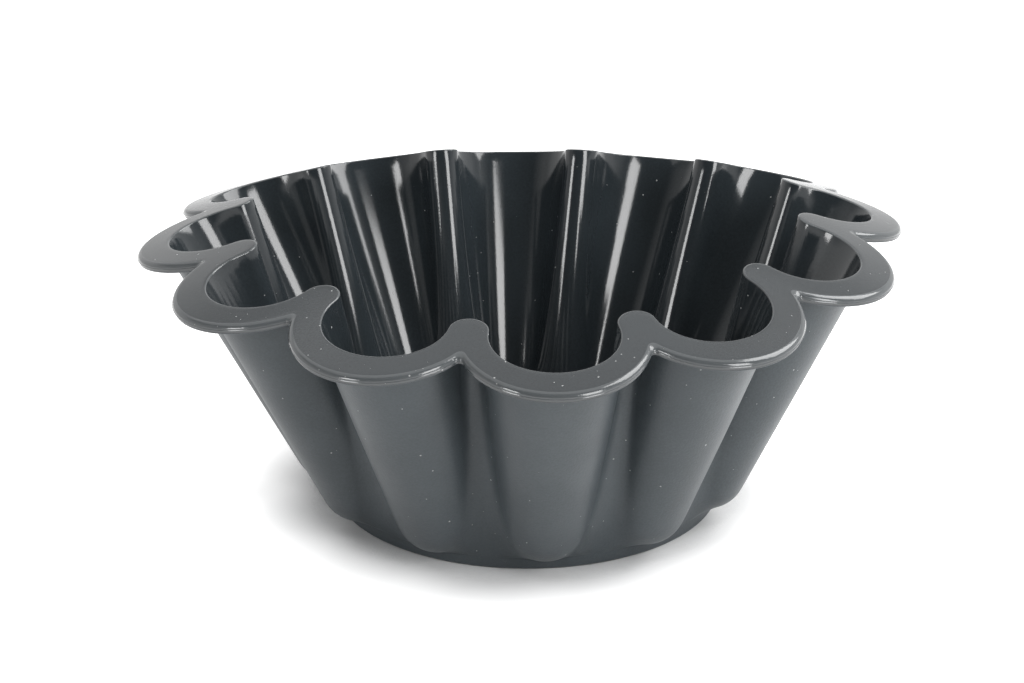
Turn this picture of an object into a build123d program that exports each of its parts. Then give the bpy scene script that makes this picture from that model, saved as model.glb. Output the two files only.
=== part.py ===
from build123d import *
import os
from math import asin, atan2, cos, hypot, pi, radians, sin, sqrt, tan

# Fluted brioche mould of soft silicone, moulded in one piece. Millimetres and degrees.
# The origin is the centre of the underside, and +Z points up, out of the open mouth.
# Seen from above the wall is a ring of round lobes that bulge outward, with a round
# tongue pointing inward between each two. Each lobe is a tapering half pipe that leans
# outward and ends above the foot in a ball nose. A sloping flange of even width
# follows the lobes round the mouth. The shape is first laid out as designed, and then
# let down as the soft wall hangs: most at the rim, and not at all at the foot.

# Pattern
LOBES = 12

# Mouth: inner edge of the top face
MOUTH_HEIGHT = 93.0            # tips of the tongues above the floor
MOUTH_LOBE_REACH = 110.0       # lobe's far edge from the axis
LOBE_FULLNESS = 0.761          # lobe's radius over half the gap between lobes' centres
FLUTE_DEPTH = 23.2             # from a lobe's far edge in to a tongue's tip

# Flange
FLANGE_SLOPE = 17.0            # degrees, falling outward
FLANGE_WIDTH = 9.8
FLANGE_THICKNESS = 2.8
FLANGE_EDGE_RADIUS = 1.1
NOTCH_RADIUS = 1.5             # in the flange's edge, between two lobes

# Wall
WALL = 2.2                     # measured level

# Noses: the ball at each lobe's lower end, on the outside of the wall
NOSE_RADIUS = 12.7
NOSE_REACH = 61.7              # ball's centre from the axis
NOSE_HEIGHT = 17.4             # ball's centre above the floor
NOSE_SLICES = 6
NOSE_LOWEST_ANGLE = 66.0       # degrees below the ball's centre, at its lowest slice

# Foot
FOOT_RADIUS = 61.2
FOOT_EDGE_RADIUS = 1.5
FLOOR_THICKNESS = 2.5
FLOOR_CORNER_RADIUS = 3.0      # inside, between floor and wall

# How the soft rim hangs. A wave has its count round the rim, its size as a share of
# MOUTH_LOBE_REACH, and the azimuth of a peak in degrees, from the front (-Y) towards +X.
SAG = 3.45
DRAWN_IN = 0.35
MOUTH_DRIFT = 3.8              # of the whole mouth, towards DRIFT_AZIMUTH
DRIFT_AZIMUTH = 172.0
FRONT_LIFT = 1.25              # flange's edge, up in front and down behind
SWELL = ((2, 0.0178, 131.0), (3, 0.0324, 2.3))                     # outward
SHIFT = ((2, 0.0154, 85.8), (3, 0.0222, 93.9))                     # sideways
RISE = ((1, 0.0080, 114.9), (2, 0.0182, 74.6), (3, 0.0081, 73.0))  # upward

# The face along the top of the rim, before the mouth and the outline are cut
RIM_POINTS = 36
RIM_MARGIN = 8.0

# Cuts and stock run past the faces that they meet by this much
OVERRUN = 6.0

# An edge this close to a face lies on it
TOUCH = 0.02

# Derived sizes
HALF_PITCH = pi / LOBES        # radians from a lobe's middle to the next tongue's
MOUTH_LOBE_RADIUS = MOUTH_LOBE_REACH / (1 + 1 / (LOBE_FULLNESS * sin(HALF_PITCH)))
MOUTH_TONGUE_REACH = MOUTH_LOBE_REACH - FLUTE_DEPTH
FALL = tan(radians(FLANGE_SLOPE))
MOUTH_LOBE_HEIGHT = MOUTH_HEIGHT - FLUTE_DEPTH * FALL
FLANGE_REACH = MOUTH_LOBE_REACH + FLANGE_WIDTH
TOP = MOUTH_HEIGHT + OVERRUN


def between(start, end, share):
    """The value a share of the way from start to end."""
    return start + (end - start) * share


def polar(reach, angle, height):
    """A point from its distance to the axis, its angle in radians and its height."""
    return Vector(reach * cos(angle), reach * sin(angle), height)


def waves(table, angle):
    """The sum of the table's waves at an angle, in radians from +X."""
    azimuth = angle + pi / 2
    total = sum(size * cos(count * (azimuth - radians(peak))) for count, size, peak in table)
    return total * MOUTH_LOBE_REACH


def lift(angle):
    """How far the rim is raised at an angle."""
    return waves(RISE, angle) - SAG


def hung(reach, angle, height):
    """Where a point of the designed shape goes as the soft wall hangs."""
    share = height / MOUTH_HEIGHT
    new_reach = reach + share * (waves(SWELL, angle) - DRAWN_IN)
    new_angle = angle + share * waves(SHIFT, angle) / MOUTH_TONGUE_REACH
    drift = polar(share * MOUTH_DRIFT, radians(DRIFT_AZIMUTH) - pi / 2, 0)
    return polar(new_reach, new_angle, height + share * lift(angle)) + drift


def crown_lean(inset):
    """Lean, in radians, of the line down the middle of a lobe, which ends on its ball."""
    out = MOUTH_LOBE_REACH + WALL - inset - NOSE_REACH
    up = MOUTH_LOBE_HEIGHT - NOSE_HEIGHT
    return atan2(out, up) - asin((NOSE_RADIUS - inset) / hypot(out, up))


def crown_reach(height, inset):
    """How far from the axis the middle of a lobe lies, on the straight part of the wall."""
    below = MOUTH_LOBE_HEIGHT - height
    return MOUTH_LOBE_REACH + WALL - inset - below * tan(crown_lean(inset))


def lobe_radius(height, inset):
    """Radius of a lobe's arc above its ball's centre."""
    share = (height - NOSE_HEIGHT) / (MOUTH_LOBE_HEIGHT - NOSE_HEIGHT)
    return between(NOSE_RADIUS, MOUTH_LOBE_RADIUS + WALL, share) - inset


def valley_reach(height, inset):
    """How far from the axis the wall lies between two lobes."""
    return between(FOOT_RADIUS, MOUTH_TONGUE_REACH + WALL, height / MOUTH_HEIGHT) - inset


def rim_height(reach):
    """Height of the flange's top face as designed, a cone that falls outward."""
    return MOUTH_HEIGHT - (reach - MOUTH_TONGUE_REACH) * FALL


def touching(first, second, reach):
    """The circle outside two lobes' circles that comes in to reach: centre and radius.

    A lobe's circle is its centre and radius. The new centre is a radius plus the reach
    from the axis and a radius plus the lobe's from each lobe's centre. Taking the
    squares of these from each other leaves two lines for the centre, in the radius."""
    (ax, ay), a_radius = (first[0].X, first[0].Y), first[1]
    (bx, by), b_radius = (second[0].X, second[0].Y), second[1]
    a_still = (reach**2 - a_radius**2 + ax**2 + ay**2) / 2
    b_still = (reach**2 - b_radius**2 + bx**2 + by**2) / 2
    a_grows, b_grows = reach - a_radius, reach - b_radius
    cross = ax * by - ay * bx
    still = Vector(a_still * by - b_still * ay, b_still * ax - a_still * bx) / cross
    grows = Vector(a_grows * by - b_grows * ay, b_grows * ax - a_grows * bx) / cross
    square = grows.dot(grows) - 1
    middle = still.dot(grows) - reach
    rest = still.dot(still) - reach**2
    radius = (-middle - sqrt(middle**2 - square * rest)) / square
    return still + grows * radius, radius


def resting(first, second, radius):
    """The circle of a given radius in the notch outside two lobes' circles."""
    apart = second[0] - first[0]
    to_first, to_second = first[1] + radius, second[1] + radius
    along = (apart.length**2 + to_first**2 - to_second**2) / (2 * apart.length)
    out = sqrt(to_first**2 - along**2)
    ahead = apart.normalized()
    return first[0] + ahead * along + Vector(ahead.Y, -ahead.X) * out, radius


def lobed_face(height, lobes, valleys):
    """A level face bounded by the lobes' arcs, joined tangentially by the valleys' arcs."""
    up = Vector(0, 0, height)

    def joint(lobe, valley):
        return lobe[0] + (valley[0] - lobe[0]) * (lobe[1] / (lobe[1] + valley[1]))

    edges = []
    for number in range(LOBES):
        lobe, valley, after = lobes[number], valleys[number], lobes[(number + 1) % LOBES]
        start = joint(lobe, valleys[number - 1]) + up
        crown = lobe[0] + lobe[0].normalized() * lobe[1] + up
        turn = joint(lobe, valley) + up
        dip = valley[0] - valley[0].normalized() * valley[1] + up
        end = joint(after, valley) + up
        edges.append(Edge.make_three_point_arc(start, crown, turn))
        edges.append(Edge.make_three_point_arc(turn, dip, end))
    return Face(Wire(edges))


def round_face(height, radius):
    """A level disc, bounded by as many arcs as a lobed section."""
    edges = []
    for number in range(2 * LOBES):
        middle = number * HALF_PITCH
        points = [polar(radius, middle + turn * HALF_PITCH / 2, height) for turn in (-1, 0, 1)]
        edges.append(Edge.make_three_point_arc(*points))
    return Face(Wire(edges))


def level(point):
    """The point moved down or up to height 0."""
    return Vector(point.X, point.Y)


def hung_face(height, section, inset):
    """A level face across the hung wall, where section gives a designed lobe's circle.

    Each lobe and valley is looked up at the designed height that hangs at this one."""
    lobes, valleys = [], []
    for number in range(LOBES):
        angle = 2 * HALF_PITCH * number
        designed = height / (1 + lift(angle) / MOUTH_HEIGHT)
        centre, radius = section(designed)
        lobes.append((level(hung(centre, angle, designed)), radius))
    for number in range(LOBES):
        angle = 2 * HALF_PITCH * number + HALF_PITCH
        designed = height / (1 + lift(angle) / MOUTH_HEIGHT)
        tip = level(hung(valley_reach(designed, inset), angle, designed))
        valleys.append(touching(lobes[number], lobes[(number + 1) % LOBES], tip.length))
    return lobed_face(height, lobes, valleys)


def nose_face(below, inset):
    """The slice at an angle below a ball's centre, or nothing where no lobe stands out.

    The wall's crown line touches the ball at its own lean, and bounds the slices above."""
    ball = NOSE_RADIUS - inset
    designed = NOSE_HEIGHT - ball * sin(below)
    radius = ball * cos(below)
    centre = NOSE_REACH
    if below < crown_lean(inset):
        centre = crown_reach(designed, inset) - radius
    if radius < valley_reach(designed, inset) - centre * cos(HALF_PITCH):
        return []
    height = designed * (1 - SAG / MOUTH_HEIGHT)
    return [hung_face(height, lambda _: (centre, radius), inset)]


def wall_solid(inset, top):
    """The fluted block inside the wall's outer face, drawn in by inset."""

    def section(designed):
        radius = lobe_radius(designed, inset)
        return crown_reach(designed, inset) - radius, radius

    start = NOSE_HEIGHT - (NOSE_RADIUS - inset)
    faces = [round_face(start, valley_reach(start, inset))]
    for step in range(NOSE_SLICES + 1):
        faces += nose_face(radians(NOSE_LOWEST_ANGLE) * (1 - step / NOSE_SLICES), inset)
    faces.append(hung_face(top, section, inset))
    return loft(faces, ruled=True)


def foot_solid(inset, bottom, corner):
    """The round block below the noses, with a rounded lower corner."""
    top = NOSE_HEIGHT - (NOSE_RADIUS - inset)
    side_low = valley_reach(bottom + corner, inset)
    side_top = valley_reach(top, inset)
    with BuildPart() as part:
        with BuildSketch(Plane.XZ):
            with BuildLine():
                floor = Line((0, bottom), (side_low - corner, bottom))
                rounding = RadiusArc(floor @ 1, (side_low, bottom + corner), -corner)
                Polyline(rounding @ 1, (side_top, top), (0, top), (0, bottom))
            make_face()
        revolve(axis=Axis.Z)
    return part.part


def rim_face():
    """The hung flange's top face, from inside the tongues to outside all of the wall."""
    loops = []
    outermost = max(FLANGE_REACH, crown_reach(TOP, 0)) + RIM_MARGIN
    for reach in (MOUTH_TONGUE_REACH - RIM_MARGIN, outermost):
        height = rim_height(reach)
        outward = (reach - MOUTH_TONGUE_REACH) / (FLANGE_REACH - MOUTH_TONGUE_REACH)
        points = []
        for number in range(RIM_POINTS):
            angle = 2 * pi * number / RIM_POINTS
            front = cos(angle + pi / 2) * FRONT_LIFT * outward * height / MOUTH_HEIGHT
            points.append(hung(reach, angle, height) + Vector(0, 0, front))
        loops.append(Edge.make_spline(points, periodic=True))
    return Face.make_surface_from_curves(*loops)


def flange(rim):
    """The flange with no mouth cut in it yet, its upper outer edge rounded."""
    centre = MOUTH_LOBE_REACH - MOUTH_LOBE_RADIUS
    radius = MOUTH_LOBE_RADIUS + FLANGE_WIDTH
    lobes, notches = [], []
    for number in range(LOBES):
        angle = 2 * HALF_PITCH * number
        lobes.append((level(hung(centre, angle, MOUTH_LOBE_HEIGHT)), radius))
    for number in range(LOBES):
        notches.append(resting(lobes[number], lobes[(number + 1) % LOBES], NOTCH_RADIUS))
    block = extrude(lobed_face(0, lobes, notches), amount=TOP)
    drop = FLANGE_THICKNESS / cos(radians(FLANGE_SLOPE))
    plate = block & extrude(rim, amount=drop, dir=(0, 0, -1))
    outer = []
    for edge in plate.edges():
        middle = edge.position_at(1 / 2)
        past_tongues = hypot(middle.X, middle.Y) > MOUTH_TONGUE_REACH
        if past_tongues and rim.distance_to(middle) < TOUCH:
            outer.append(edge)
    return fillet(outer, FLANGE_EDGE_RADIUS)


def mould():
    """The whole moulding."""
    rim = rim_face()
    above = extrude(rim, amount=TOP, dir=(0, 0, 1))
    outside = wall_solid(0, TOP) - above
    body = foot_solid(0, 0, FOOT_EDGE_RADIUS) + outside + flange(rim)
    cavity = wall_solid(WALL, TOP + OVERRUN)
    cavity += foot_solid(WALL, FLOOR_THICKNESS, FLOOR_CORNER_RADIUS)
    return body - cavity


os.makedirs("parts", exist_ok=True)
body = mould()
export_step(body, "parts/mould_body.step")
print("solids", len(body.solids()), "volume", body.volume, "box", body.bounding_box())
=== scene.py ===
from math import cos, pi, radians, sin, tan

import bpy
import numpy as np
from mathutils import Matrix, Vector


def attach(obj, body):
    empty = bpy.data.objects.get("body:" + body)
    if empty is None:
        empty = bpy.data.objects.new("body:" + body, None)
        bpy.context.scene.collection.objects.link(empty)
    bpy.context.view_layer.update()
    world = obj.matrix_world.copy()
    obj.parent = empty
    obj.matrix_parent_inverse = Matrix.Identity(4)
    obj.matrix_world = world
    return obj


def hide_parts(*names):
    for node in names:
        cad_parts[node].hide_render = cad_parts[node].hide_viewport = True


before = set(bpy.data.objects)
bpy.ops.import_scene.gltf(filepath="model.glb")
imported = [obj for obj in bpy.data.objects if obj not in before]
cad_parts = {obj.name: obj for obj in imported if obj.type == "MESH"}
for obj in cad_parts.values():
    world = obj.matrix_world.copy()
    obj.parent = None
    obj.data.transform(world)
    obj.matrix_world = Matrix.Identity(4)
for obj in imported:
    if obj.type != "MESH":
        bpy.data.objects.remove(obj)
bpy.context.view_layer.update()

# Fluted brioche mould of soft silicone, one moulding. Shape in millimetres and degrees.
MM = 0.001                     # metres in a millimetre
LOBES = 12

# Mouth, flange and wall, as designed
MOUTH_HEIGHT = 93.0
MOUTH_LOBE_REACH = 110.0
LOBE_FULLNESS = 0.761          # lobe's radius over half the gap between lobes' centres
FLUTE_DEPTH = 23.2             # from a lobe's far edge in to a tongue's tip
FLANGE_SLOPE = 17.0
FLANGE_WIDTH = 9.8
FLANGE_THICKNESS = 2.8
NOTCH_RADIUS = 1.5
WALL = 2.2

# Noses and foot
NOSE_RADIUS = 12.7
NOSE_REACH = 61.7
NOSE_HEIGHT = 17.4
FOOT_RADIUS = 61.2
FOOT_EDGE_RADIUS = 1.5
FLOOR_THICKNESS = 2.5
FLOOR_CORNER_RADIUS = 3.0

# Small roundings and the moulding's parting line
MOUTH_EDGE_RADIUS = 0.45
UNDERSIDE_FILLET = 1.2
TOP_ROUNDING_WIDTH = 1.5       # of the flange's top corner, across
TOP_ROUNDING_DEPTH = 1.25      # and down
LINE_HEIGHT = 0.12             # parting line's ridge
LINE_PROUD = 0.13
LIP_INSET = 0.42               # the lower lip stands back from the upper edge
LIP_ROUNDING = 0.35

# How the soft rim hangs. A wave has its count round the rim, its size as a share of
# MOUTH_LOBE_REACH, and the azimuth of a peak in degrees, from the front (-Y) towards +X.
SAG = 3.45
DRAWN_IN = 0.44
MOUTH_DRIFT = 3.8              # of the whole mouth, towards DRIFT_AZIMUTH
DRIFT_AZIMUTH = 172.0
FRONT_LIFT = 1.25              # flange's edge, up in front and down behind
SWELL = ((2, 0.0178, 131.0), (3, 0.0324, 2.3))                     # outward
SHIFT = ((2, 0.0154, 85.8), (3, 0.0222, 93.9))                     # sideways
RISE = ((1, 0.0080, 114.9), (2, 0.0182, 74.6), (3, 0.0081, 73.0))  # upward

# Finish: linear colours, and lengths in metres. The flange and the inside have darker copies of the one
# silicone's colour, which paint shade.
OUTSIDE_IOR = 1.43
INSIDE_IOR = 1.58              # the inside and the flange shine more
OUTSIDE_COLOUR = (0.055, 0.066, 0.073)
# painted shade: the flange's and the inside's colours are darker copies of the outside's silicone
FLANGE_COLOUR_PAINTED_SHADE = (0.028, 0.034, 0.038)
INSIDE_COLOUR_PAINTED_SHADE = (0.024, 0.030, 0.034)
FINISHES = (                   # name, colour, index, roughness, grain's depth, share of dust
    ("silicone_outside", OUTSIDE_COLOUR, OUTSIDE_IOR, 0.42, 0.00006, 0.15),
    ("silicone_flange_painted_shade", FLANGE_COLOUR_PAINTED_SHADE, INSIDE_IOR, 0.17, 0.00003, 0.4),
    ("silicone_inside_painted_shade", INSIDE_COLOUR_PAINTED_SHADE, INSIDE_IOR, 0.12, 0.00001, 0.06),
)
MOTTLE = 1.12                  # paler or deeper by this much
CLOUD_SCALE = 38.0             # to the metre
GRAIN_SCALE = 1400.0
# painted highlight: pale grey mixed into the flange's outer edge and the mouth's edge
EDGE_HIGHLIGHT_COLOUR = (0.16, 0.17, 0.175)
EDGE_HIGHLIGHT_SHARE = 0.45
EDGE_POLISH = 0.5              # edges' share of the roughness
SPECK_COLOUR = (0.42, 0.43, 0.43)
SPECK_CELLS = 600.0            # to the metre
SPECK_RADIUS = 0.00027         # the largest
SPECK_ROUGHNESS = 0.9

# Studio
FLOOR_GLOW = 0.95              # only where the floor is looked at or reflected
SHELTER_REACH = 0.028          # the glow fades where the mould shelters the floor, which paints a contact shadow
SHELTER_DARK = 0.35
SHELTER_CLEAR = 0.9
BACKDROP_FRONT = 0.14          # sine of the height of the white surroundings
BACKDROP_BACK = 0.4
BACKDROP_FADE_FRONT = 0.12
BACKDROP_FADE_BACK = 0.34
ROOM = 0.04                    # the dim room above, in reflections
ROOM_SIDES = 0.6               # and its paler walls left and right
FILL = 0.07                    # soft light from all round

LAMPS = (                      # name, size, power, azimuth, elevation, distance
    ("softbox_above", (3.0, 2.0), 17.0, 180.0, 74.0, 1.6),
    ("softbox_right", (0.9, 0.9), 16.0, 98.0, 46.0, 1.4),
    ("window_right", (0.38, 0.6), 6.5, 36.0, 26.0, 1.1),
    ("window_left", (0.3, 0.34), 3.0, -50.0, 20.0, 1.1),
)

# Camera, in metres and degrees
CAMERA_DISTANCE = 0.6268
CAMERA_ELEVATION = 20.39
CAMERA_TURN = -4.725
CAMERA_SIDE = -0.0046
CAMERA_LOOK_HEIGHT = 0.0489
CAMERA_LENS = 70.06

# Mesh
LOBE_STEPS = 32
VALLEY_STEPS = 16
MOUTH_EDGE_STEPS = 4
TOP_CORNER_STEPS = 10
LIP_STEPS = 5
FILLET_STEPS = 6
FOOT_EDGE_STEPS = 8
FLOOR_CORNER_STEPS = 12
OUTER_NOSE_STEPS, OUTER_WALL_STEPS = 22, 20
INNER_WALL_STEPS, INNER_NOSE_STEPS = 22, 20
NOSE_CROWDING = 1.1            # rings crowd a little towards the nose's widest place
OUTER_NOSE_START, INNER_NOSE_START = radians(75), radians(79)
RIM_ROUNDS = 30                # enough for the rim's curve to settle
OUTSIDE, FLANGE, INSIDE = range(3)         # the mesh's material slots

HALF = pi / LOBES
MOUTH_LOBE_RADIUS = MOUTH_LOBE_REACH / (1 + 1 / (LOBE_FULLNESS * sin(HALF)))
MOUTH_TONGUE_REACH = MOUTH_LOBE_REACH - FLUTE_DEPTH
FALL = tan(radians(FLANGE_SLOPE))
LOBE_HEIGHT = MOUTH_HEIGHT - FLUTE_DEPTH * FALL
MOUTH_CENTRE = MOUTH_LOBE_REACH - MOUTH_LOBE_RADIUS
FLANGE_REACH = MOUTH_LOBE_REACH + FLANGE_WIDTH


def columns():
    """Lobe's angle, whether the column is on a lobe, and its share of the arc from -1 to 1."""
    angle, on_lobe, share = [], [], []
    for lobe in range(LOBES):
        for step in range(LOBE_STEPS):
            angle.append(2 * HALF * lobe)
            on_lobe.append(True)
            share.append(2 * step / LOBE_STEPS - 1)
        for step in range(VALLEY_STEPS):
            angle.append(2 * HALF * lobe + HALF)
            on_lobe.append(False)
            share.append(2 * step / VALLEY_STEPS - 1)
    return np.array(angle), np.array(on_lobe), np.array(share)


ANGLE, ON_LOBE, SHARE = columns()


def between(start, end, share):
    return start + (end - start) * share


def tangent_ring(centre, lobe, valley):
    """Level positions round one section: lobes' arcs joined tangentially by valleys' arcs."""
    aside = centre * sin(HALF)
    valley_centre = centre * cos(HALF) + np.sqrt((lobe + valley) ** 2 - aside**2)
    turn = np.arctan2(valley_centre * sin(HALF), valley_centre * cos(HALF) - centre)
    back = np.arctan2(aside, valley_centre - centre * cos(HALF))
    on_lobe = centre + lobe * np.cos(SHARE * turn)
    on_valley = valley_centre - valley * np.cos(SHARE * back)
    along = np.where(ON_LOBE, on_lobe, on_valley)
    across = np.where(ON_LOBE, lobe * np.sin(SHARE * turn), valley * np.sin(SHARE * back))
    return along * np.cos(ANGLE) - across * np.sin(ANGLE), along * np.sin(ANGLE) + across * np.cos(ANGLE)


def valley_radius(centre, lobe, valley_reach):
    """Radius of the arc that joins two lobes and passes through a valley's deepest point."""
    aside = centre * sin(HALF)
    past = valley_reach - centre * cos(HALF)
    return (past**2 + aside**2 - lobe**2) / (2 * (lobe - past))


def crown_lean(inset):
    """Angle from upright of a lobe's crown, which touches the nose's ball."""
    out = MOUTH_LOBE_REACH + WALL - inset - NOSE_REACH
    up = LOBE_HEIGHT - NOSE_HEIGHT
    return np.arctan2(out, up) - np.arcsin((NOSE_RADIUS - inset) / np.hypot(out, up))


def crown_reach(height, inset):
    """How far out the lobes' crowns are at a height."""
    return MOUTH_LOBE_REACH + WALL - inset - (LOBE_HEIGHT - height) * np.tan(crown_lean(inset))


def valley_reach(height, inset):
    return between(FOOT_RADIUS, MOUTH_TONGUE_REACH + WALL, height / MOUTH_HEIGHT) - inset


def wall_ring(height, inset):
    """The wall at a height above the noses' centres. Height may differ by column."""
    share = (height - NOSE_HEIGHT) / (LOBE_HEIGHT - NOSE_HEIGHT)
    lobe = between(NOSE_RADIUS, MOUTH_LOBE_RADIUS + WALL, share) - inset
    centre = crown_reach(height, inset) - lobe
    reach = valley_reach(height, inset)
    x, y = tangent_ring(centre, lobe, valley_radius(centre, lobe, reach))
    return np.stack([x, y, height + 0 * x], 1)


def nose_ring(below, inset):
    """The wall at an angle, in radians, below the noses' centres."""
    ball = NOSE_RADIUS - inset
    height = NOSE_HEIGHT - ball * sin(below)
    lobe = ball * cos(below)
    centre = NOSE_REACH
    if below < crown_lean(inset):
        centre = crown_reach(height, inset) - lobe
    reach = valley_reach(height, inset)
    x, y = tangent_ring(centre, lobe, valley_radius(centre, lobe, reach))
    return np.stack([x, y, height + 0 * x], 1)


def round_ring(reach, height):
    """A circle whose columns lie under those of the lobes."""
    joint = 0.25 * HALF
    angle = ANGLE + np.where(ON_LOBE, SHARE * joint, SHARE * (HALF - joint))
    return np.stack([reach * np.cos(angle), reach * np.sin(angle), height + 0 * angle], 1)


def rim_height(ring):
    """Height of the flange's sloping top face."""
    return MOUTH_HEIGHT - (np.hypot(ring[:, 0], ring[:, 1]) - MOUTH_TONGUE_REACH) * FALL


def rim_curve(inset, drop):
    """Where the wall meets the flange's top or underside."""
    height = np.full(len(ANGLE), LOBE_HEIGHT)
    for _ in range(RIM_ROUNDS):
        height = rim_height(wall_ring(height, inset)) - drop
    return wall_ring(height, inset), height


TIP_RADIUS = valley_radius(MOUTH_CENTRE, MOUTH_LOBE_RADIUS, MOUTH_TONGUE_REACH)


def flange_ring(out, down):
    """A line round the flange, out from the mouth and down from the top face."""
    valley = NOTCH_RADIUS + (TIP_RADIUS - NOTCH_RADIUS) * (1 - out / FLANGE_WIDTH) ** 2
    x, y = tangent_ring(MOUTH_CENTRE, MOUTH_LOBE_RADIUS + out, valley)
    ring = np.stack([x, y, 0 * x], 1)
    ring[:, 2] = rim_height(ring) - down
    return ring


def fitted_flange(curve, start, out, down):
    """A flange line that fades into the true curve where the wall meets the flange."""
    fade = (1 - (out - start) / (FLANGE_WIDTH - start)) ** 2
    ring = flange_ring(out, down)
    ring[:, :2] += (curve - flange_ring(start, down))[:, :2] * fade
    ring[:, 2] = rim_height(ring) - down
    return ring


def rounded(before, corner, after, steps):
    """Rings of a rounded corner, with neither end."""
    weight = cos(pi / 4)
    rings = []
    for step in range(1, steps):
        t = step / steps
        parts = ((1 - t) ** 2, 2 * weight * t * (1 - t), t**2)
        total = sum(parts)
        rings.append((parts[0] * before + parts[1] * corner + parts[2] * after) / total)
    return rings


def outside_rings():
    """From the middle of the underside to the flange's outer edge."""
    rings = [round_ring(share * FOOT_RADIUS, 0) for share in (0.12, 0.4, 0.7, 0.9)]
    for step in range(FOOT_EDGE_STEPS + 1):
        a = pi / 2 * step / FOOT_EDGE_STEPS
        reach = valley_reach(FOOT_EDGE_RADIUS, 0) - FOOT_EDGE_RADIUS * (1 - sin(a))
        rings.append(round_ring(reach, FOOT_EDGE_RADIUS * (1 - cos(a))))
    lowest = NOSE_HEIGHT - NOSE_RADIUS
    for share in (0.3, 0.6, 0.9):
        height = between(FOOT_EDGE_RADIUS, lowest, share)
        rings.append(round_ring(valley_reach(height, 0), height))
    first = nose_ring(OUTER_NOSE_START, 0)
    base = round_ring(valley_reach(lowest, 0), lowest)
    rings += [between(base, first, share) for share in (0.0, 0.35, 0.7)]
    for step in range(OUTER_NOSE_STEPS + 1):
        share = (1 - step / OUTER_NOSE_STEPS) ** NOSE_CROWDING
        rings.append(nose_ring(OUTER_NOSE_START * share, 0))
    drop = FLANGE_THICKNESS / cos(radians(FLANGE_SLOPE))
    junction, height = rim_curve(0, drop)
    for step in range(1, OUTER_WALL_STEPS + 1):
        level = between(NOSE_HEIGHT, height - UNDERSIDE_FILLET, step / OUTER_WALL_STEPS)
        rings.append(wall_ring(level, 0))
    out = WALL + UNDERSIDE_FILLET
    under = fitted_flange(junction, WALL, out, drop)
    rings += rounded(rings[-1], junction, under, FILLET_STEPS)
    rings.append(under)
    lip = FLANGE_WIDTH - LINE_PROUD - LIP_INSET
    for share in (0.25, 0.5, 0.75):
        rings.append(fitted_flange(junction, WALL, between(out, lip - LIP_ROUNDING, share), drop))
    low = fitted_flange(junction, WALL, lip - LIP_ROUNDING, drop)
    corner = fitted_flange(junction, WALL, lip, drop)
    side = flange_ring(lip, drop - LIP_ROUNDING)
    rings.append(low)
    rings += rounded(low, corner, side, LIP_STEPS)
    rings.append(side)
    return rings


def edge_rings():
    """Up the flange's outer edge: lip, parting line, upper edge and its rounded corner."""
    drop = FLANGE_THICKNESS / cos(radians(FLANGE_SLOPE))
    face = FLANGE_WIDTH - LINE_PROUD
    lip = face - LIP_INSET
    line = TOP_ROUNDING_DEPTH + 2 * LINE_HEIGHT
    rings = [
        flange_ring(lip, between(drop - LIP_ROUNDING, line, 0.5)),
        flange_ring(lip, line + 1.6 * LINE_HEIGHT),
        flange_ring(between(lip, face, 0.25), line + 0.8 * LINE_HEIGHT),
        flange_ring(face, line + 0.6 * LINE_HEIGHT),
        flange_ring(FLANGE_WIDTH, line + 0.3 * LINE_HEIGHT),
        flange_ring(FLANGE_WIDTH, line - 0.3 * LINE_HEIGHT),
        flange_ring(face, line - LINE_HEIGHT),
    ]
    top = flange_ring(FLANGE_WIDTH - TOP_ROUNDING_WIDTH, 0)
    corner = flange_ring(face, 0)
    side = flange_ring(face, TOP_ROUNDING_DEPTH)
    rings.append(side)
    rings += rounded(side, corner, top, TOP_CORNER_STEPS)
    rings.append(top)
    return rings


def top_rings():
    """Across the flange's top face to the mouth's rounded edge."""
    mouth, height = rim_curve(WALL, 0)
    rings = []
    for share in (0.15, 0.4, 0.65, 0.85, 1):
        out = between(FLANGE_WIDTH - TOP_ROUNDING_WIDTH, MOUTH_EDGE_RADIUS, share)
        rings.append(fitted_flange(mouth, 0, out, 0))
    below = wall_ring(height - MOUTH_EDGE_RADIUS, WALL)
    rings += rounded(rings[-1], mouth, below, MOUTH_EDGE_STEPS)
    return rings


def inside_rings():
    """From just below the mouth's edge down to the middle of the floor."""
    _, height = rim_curve(WALL, 0)
    rings = []
    for step in range(INNER_WALL_STEPS):
        level = between(height - MOUTH_EDGE_RADIUS, NOSE_HEIGHT, step / INNER_WALL_STEPS)
        rings.append(wall_ring(level, WALL))
    for step in range(INNER_NOSE_STEPS + 1):
        share = (step / INNER_NOSE_STEPS) ** (1 / NOSE_CROWDING)
        rings.append(nose_ring(INNER_NOSE_START * share, WALL))
    lowest = NOSE_HEIGHT - (NOSE_RADIUS - WALL)
    base = round_ring(valley_reach(lowest, WALL), lowest)
    rings += [between(rings[-1], base, share) for share in (0.35, 0.7, 1.0)]
    bend = FLOOR_THICKNESS + FLOOR_CORNER_RADIUS
    rings.append(round_ring(valley_reach(between(lowest, bend, 0.5), WALL), between(lowest, bend, 0.5)))
    for step in range(FLOOR_CORNER_STEPS + 1):
        a = pi / 2 * step / FLOOR_CORNER_STEPS
        reach = valley_reach(bend, WALL) - FLOOR_CORNER_RADIUS * (1 - cos(a))
        rings.append(round_ring(reach, bend - FLOOR_CORNER_RADIUS * sin(a)))
    for share in (0.75, 0.5, 0.25, 0.1):
        rings.append(round_ring(share * FOOT_RADIUS, FLOOR_THICKNESS))
    return rings


def waves(table, azimuth):
    """A table's waves added up, in millimetres."""
    total = 0 * azimuth
    for count, size, peak in table:
        total = total + size * np.cos(count * (azimuth - radians(peak)))
    return total * MOUTH_LOBE_REACH


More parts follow.
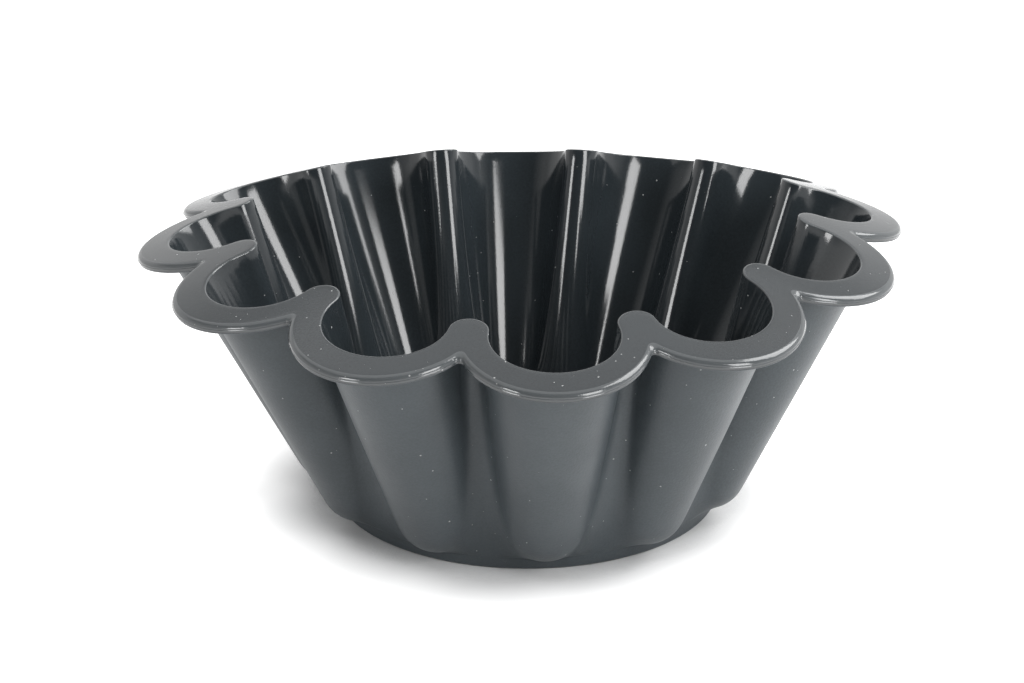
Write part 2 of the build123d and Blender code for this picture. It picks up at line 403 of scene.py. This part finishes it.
def relax(points):
    """Lets the soft rim hang and lean, less and less towards the foot."""
    x, y, z = points.T
    azimuth = np.arctan2(x, -y)
    reach = np.hypot(x, y)
    share = np.clip(z / MOUTH_HEIGHT, 0, 1)
    edge = np.clip((reach - MOUTH_TONGUE_REACH) / (FLANGE_REACH - MOUTH_TONGUE_REACH), 0, 1)
    wall = np.clip(reach / (0.9 * FOOT_RADIUS), 0, 1)      # the floor's middle stays flat
    new_reach = reach + share * wall * (waves(SWELL, azimuth) - DRAWN_IN)
    new_azimuth = azimuth + share * wall * waves(SHIFT, azimuth) / MOUTH_TONGUE_REACH
    drift = radians(DRIFT_AZIMUTH)
    new_x = new_reach * np.sin(new_azimuth) + share * MOUTH_DRIFT * sin(drift)
    new_y = -new_reach * np.cos(new_azimuth) - share * MOUTH_DRIFT * cos(drift)
    lift = wall * waves(RISE, azimuth) - SAG + FRONT_LIFT * np.cos(azimuth) * edge
    return np.stack([new_x, new_y, z + share * lift], 1)


def highlight_and_polish_rings(parts):
    """1 for the rings of the flange's outer edge and the mouth's edge, or else 0: there a paler colour
    paints a highlight and the surface is smoother.
    """
    share = [[0.0] * len(part) for part in parts]
    _, outer, top, _ = share
    outer[:-1] = [1.0] * (len(outer) - 1)
    top[1 - MOUTH_EDGE_STEPS:] = [1.0] * (MOUTH_EDGE_STEPS - 1)
    return sum(share, [])


def moulding():
    """One closed mesh: rings of columns, with a middle point under the foot and on the floor."""
    parts = [outside_rings(), edge_rings(), top_rings(), inside_rings()]
    rings = [ring for part in parts for ring in part]
    finish = []
    for part, slot in zip(parts, (OUTSIDE, FLANGE, FLANGE, INSIDE)):
        finish += [slot] * len(part)
    count = len(ANGLE)
    points = np.concatenate(rings + [np.array([[0, 0, 0], [0, 0, FLOOR_THICKNESS]])])
    points = relax(points) * MM
    here = np.arange(count)
    beyond = (here + 1) % count
    quads, slots = [], []
    for number in range(len(rings) - 1):
        low, high = number * count, (number + 1) * count
        quads.append(np.stack([low + here, low + beyond, high + beyond, high + here], 1))
        slots += [finish[number + 1]] * count
    under, floor = len(rings) * count, len(rings) * count + 1
    faces = np.concatenate(quads).tolist()
    faces += [[under, int(b), int(a)] for a, b in zip(here, beyond)]
    slots += [OUTSIDE] * count
    last = (len(rings) - 1) * count
    faces += [[floor, last + int(a), last + int(b)] for a, b in zip(here, beyond)]
    slots += [INSIDE] * count
    mesh = bpy.data.meshes.new("mould_moulding")
    mesh.from_pydata(points.tolist(), [], faces)
    mesh.validate()
    mesh.polygons.foreach_set("material_index", slots)
    mesh.polygons.foreach_set("use_smooth", [True] * len(faces))
    # the edge attribute marks where the painted highlight and the smoother finish go
    edge = mesh.attributes.new("edge", "FLOAT", "POINT")
    edge.data.foreach_set("value", np.repeat(highlight_and_polish_rings(parts), count).tolist() + [0.0, 0.0])
    mesh.update()
    piece = bpy.data.objects.new("mould_moulding", mesh)
    bpy.context.scene.collection.objects.link(piece)
    return piece


def socket(node, name, value):
    node.inputs[name].default_value = value


class Nodes:
    """Short ways to add nodes to one material or world."""

    def __init__(self, owner):
        owner.use_nodes = True
        self.tree = owner.node_tree

    def add(self, kind, **settings):
        node = self.tree.nodes.new("ShaderNode" + kind)
        for name, value in settings.items():
            setattr(node, name, value)
        return node

    def link(self, output, target):
        self.tree.links.new(output, target)

    def math(self, operation, first, second=0.0, clamp=False):
        node = self.add("Math", operation=operation, use_clamp=clamp)
        for number, value in enumerate((first, second)):
            if isinstance(value, (int, float)):
                node.inputs[number].default_value = value
            else:
                self.link(value, node.inputs[number])
        return node.outputs[0]

    def noise(self, place, scale, detail, roughness=0.5):
        node = self.add("TexNoise")
        socket(node, "Scale", scale)
        socket(node, "Detail", detail)
        socket(node, "Roughness", roughness)
        self.link(place, node.inputs["Vector"])
        return node.outputs["Fac"]

    def ramp(self, value, low, high, start, end):
        """The value spread from low..high to start..end, and held there."""
        node = self.add("MapRange")
        for name, number in zip(("From Min", "From Max", "To Min", "To Max"), (low, high, start, end)):
            socket(node, name, number)
        self.link(value, node.inputs["Value"])
        return node.outputs["Result"]

    def mix(self, share, first, second):
        """A colour between two colours."""
        node = self.add("Mix", data_type="RGBA")
        self.link(share, node.inputs["Factor"])
        for name, value in (("A", first), ("B", second)):
            target = next(i for i in node.inputs if i.name == name and i.type == "RGBA")
            if isinstance(value, tuple):
                target.default_value = value + (1.0,)
            else:
                self.link(value, target)
        return next(o for o in node.outputs if o.type == "RGBA")


def specks(nodes, place, cells, radius, share):
    """1 on scattered round specks: cells to the metre, and the share of them with a speck."""
    cell = nodes.add("TexVoronoi")
    socket(cell, "Scale", cells)
    nodes.link(place, cell.inputs["Vector"])
    chosen = nodes.add("SeparateColor")
    nodes.link(cell.outputs["Color"], chosen.inputs[0])
    size = nodes.math("MULTIPLY", nodes.math("POWER", chosen.outputs[1], 1.6), radius * cells)
    near = nodes.math("LESS_THAN", cell.outputs["Distance"], size)
    kept = nodes.math("LESS_THAN", chosen.outputs[0], share)
    return nodes.math("MULTIPLY", near, kept)


def silicone(name, colour, index, roughness, grain, dust):
    """Dark grey silicone with mottling, grain, smoother edges painted paler as a highlight, and specks
    of dust.
    """
    material = bpy.data.materials.new(name)
    nodes = Nodes(material)
    shader = nodes.tree.nodes["Principled BSDF"]
    socket(shader, "IOR", index)
    place = nodes.add("TexCoord").outputs["Object"]
    cloud = nodes.noise(place, CLOUD_SCALE, 3.0)
    fine = nodes.noise(place, GRAIN_SCALE, 2.0, 0.6)
    pale = tuple(c * MOTTLE for c in colour)
    deep = tuple(c / MOTTLE for c in colour)
    uneven = nodes.math("ADD", nodes.math("MULTIPLY", cloud, 0.55), nodes.math("MULTIPLY", fine, 0.45))
    tint = nodes.mix(nodes.ramp(uneven, 0.4, 0.6, 0.0, 1.0), deep, pale)
    edge_highlight_and_polish = nodes.add("Attribute", attribute_name="edge").outputs["Fac"]
    # painted highlight: the edge rings' colour is mixed towards pale grey
    tint = nodes.mix(nodes.math("MULTIPLY", edge_highlight_and_polish, EDGE_HIGHLIGHT_SHARE), tint, EDGE_HIGHLIGHT_COLOUR)
    dots = specks(nodes, place, SPECK_CELLS, SPECK_RADIUS, dust)
    tint = nodes.mix(dots, tint, SPECK_COLOUR)
    nodes.link(tint, shader.inputs["Base Color"])
    shine = nodes.ramp(cloud, 0.35, 0.65, roughness * 1.08, roughness * 0.92)
    shine = nodes.math("MULTIPLY", shine, nodes.ramp(edge_highlight_and_polish, 0.0, 1.0, 1.0, EDGE_POLISH))
    matt = nodes.math("MULTIPLY", dots, SPECK_ROUGHNESS)
    nodes.link(nodes.math("MAXIMUM", shine, matt), shader.inputs["Roughness"])
    bump = nodes.add("Bump")
    socket(bump, "Distance", grain)
    nodes.link(nodes.math("ADD", fine, nodes.math("MULTIPLY", dots, 1.5)), bump.inputs["Height"])
    nodes.link(bump.outputs["Normal"], shader.inputs["Normal"])
    return material


def seen(nodes):
    """1 for rays from the camera, reflections and rays through glass, or else 0."""
    path = nodes.add("LightPath")
    total = nodes.math("ADD", path.outputs["Is Camera Ray"], path.outputs["Is Glossy Ray"])
    return nodes.math("ADD", total, path.outputs["Is Transmission Ray"], clamp=True)


def floor_material():
    """Near white paper that is brightened where it is looked at. It keeps the lamps' real shadow, and
    its glow fades near the mould as a painted shadow.
    """
    material = bpy.data.materials.new("paper")
    nodes = Nodes(material)
    shader = nodes.tree.nodes["Principled BSDF"]
    place = nodes.add("TexCoord").outputs["Object"]
    fibre = nodes.ramp(nodes.noise(place, 350.0, 4.0), 0.3, 0.7, 0.0, 1.0)
    nodes.link(nodes.mix(fibre, (0.79, 0.79, 0.79), (0.82, 0.82, 0.82)), shader.inputs["Base Color"])
    socket(shader, "Roughness", 0.9)
    socket(shader, "Emission Color", (1, 1, 1, 1))
    shelter = nodes.add("AmbientOcclusion", samples=8)
    socket(shelter, "Distance", SHELTER_REACH)
    # painted shadow: the glow is dimmed by ambient occlusion close to the mould
    glow_with_painted_shadow = nodes.ramp(shelter.outputs["AO"], SHELTER_DARK, SHELTER_CLEAR, 0.0, FLOOR_GLOW)
    nodes.link(nodes.math("MULTIPLY", seen(nodes), glow_with_painted_shadow), shader.inputs["Emission Strength"])
    return material


def stage():
    bpy.ops.mesh.primitive_plane_add(size=6, location=(0, 0, 0))
    floor = bpy.context.object
    floor.name = "floor"
    floor.data.materials.append(floor_material())


def surroundings():
    """White to the camera; in reflections a white backdrop low down and a dim room above."""
    world = bpy.data.worlds.new("studio")
    bpy.context.scene.world = world
    nodes = Nodes(world)
    background = nodes.tree.nodes["Background"]
    direction = nodes.add("SeparateXYZ")
    nodes.link(nodes.add("TexCoord").outputs["Generated"], direction.inputs[0])
    up, back = direction.outputs["Z"], direction.outputs["Y"]
    top = nodes.ramp(back, -0.2, 0.7, BACKDROP_FRONT, BACKDROP_BACK)
    over = nodes.math("SUBTRACT", up, top)
    aside = nodes.math("ABSOLUTE", direction.outputs["X"])
    room = nodes.ramp(aside, 0.66, 0.88, ROOM, ROOM_SIDES)
    fade = nodes.ramp(back, -0.2, 0.7, BACKDROP_FADE_FRONT, BACKDROP_FADE_BACK)
    share = nodes.math("SUBTRACT", 1.0, nodes.math("DIVIDE", over, fade, clamp=True), clamp=True)
    beyond = nodes.math("MULTIPLY", nodes.math("SUBTRACT", 1.0, share), room)
    paper = nodes.math("ADD", share, beyond)
    path = nodes.add("LightPath")
    glossy, through = path.outputs["Is Glossy Ray"], path.outputs["Is Transmission Ray"]
    shiny = nodes.math("ADD", glossy, through, clamp=True)
    reflected = nodes.math("MULTIPLY", shiny, paper)
    plain = nodes.math("MULTIPLY", nodes.math("SUBTRACT", 1.0, shiny), FILL)
    strength = nodes.math("ADD", reflected, plain)
    strength = nodes.math("MAXIMUM", strength, path.outputs["Is Camera Ray"])
    socket(background, "Color", (1, 1, 1, 1))
    nodes.link(strength, background.inputs["Strength"])


def lamp(name, size, power, azimuth, elevation, distance, aim=(0, 0, 0.05)):
    """A softbox, placed by azimuth from the front towards +X and by elevation."""
    data = bpy.data.lights.new(name, "AREA")
    data.shape = "RECTANGLE"
    data.size, data.size_y = size
    data.energy = power
    light = bpy.data.objects.new(name, data)
    bpy.context.scene.collection.objects.link(light)
    level = distance * cos(radians(elevation))
    place = Vector((
        level * sin(radians(azimuth)),
        -level * cos(radians(azimuth)),
        distance * sin(radians(elevation)),
    ))
    light.location = place + Vector(aim)
    light.rotation_euler = (-place).to_track_quat("-Z", "Y").to_euler()


def camera():
    data = bpy.data.cameras.new("camera")
    data.lens = CAMERA_LENS
    data.sensor_width = 36
    obj = bpy.data.objects.new("camera", data)
    bpy.context.scene.collection.objects.link(obj)
    elevation, turn = radians(CAMERA_ELEVATION), radians(CAMERA_TURN)
    forward = -CAMERA_DISTANCE * cos(elevation)
    obj.location = (
        CAMERA_SIDE * cos(turn) - forward * sin(turn),
        CAMERA_SIDE * sin(turn) + forward * cos(turn),
        CAMERA_LOOK_HEIGHT + CAMERA_DISTANCE * sin(elevation),
    )
    obj.rotation_euler = (pi / 2 - elevation, 0, turn)
    bpy.context.scene.camera = obj


piece = moulding()
for finish in FINISHES:
    piece.data.materials.append(silicone(*finish))
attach(piece, "root")
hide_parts("mould_body")
stage()
surroundings()
for light in LAMPS:
    lamp(*light)
camera()
bpy.context.scene.view_settings.view_transform = "Standard"
